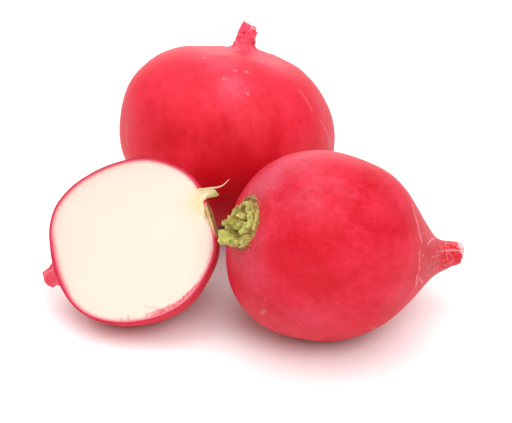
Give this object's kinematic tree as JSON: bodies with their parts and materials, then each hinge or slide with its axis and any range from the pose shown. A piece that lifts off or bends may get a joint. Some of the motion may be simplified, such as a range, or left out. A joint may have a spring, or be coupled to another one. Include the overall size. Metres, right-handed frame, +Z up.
{
  "type": "bunch of radishes",
  "caption": "Globe radishes lying together on a flat surface, whole ones and one cut lengthwise, with trimmed leaf stalks and taproots.",
  "frame": {"origin": "on the surface that the radishes lie on, under the middle of the bounding box", "axes": "+Z up, +X along the longest side of the bunch, +Y from the cut radish and the small whole one towards the large one behind them"},
  "size_m": [0.0728, 0.0718, 0.0374],
  "materials": {
    "radish_skin": "thin waxy red skin with a soft sheen",
    "radish_flesh": "moist cut flesh, creamy white",
    "cut_stalk": "matt, fibrous cut leaf stalks, olive green"
  },
  "bodies": {
    "root": {"front_root": "radish_skin", "front_leaf_stalks": "cut_stalk", "back_root": "radish_skin", "back_leaf_stalks": "cut_stalk", "half_skin": "radish_skin", "half_flesh": "radish_flesh", "half_leaf_stalks": "cut_stalk"}
  },
  "joints": []
}
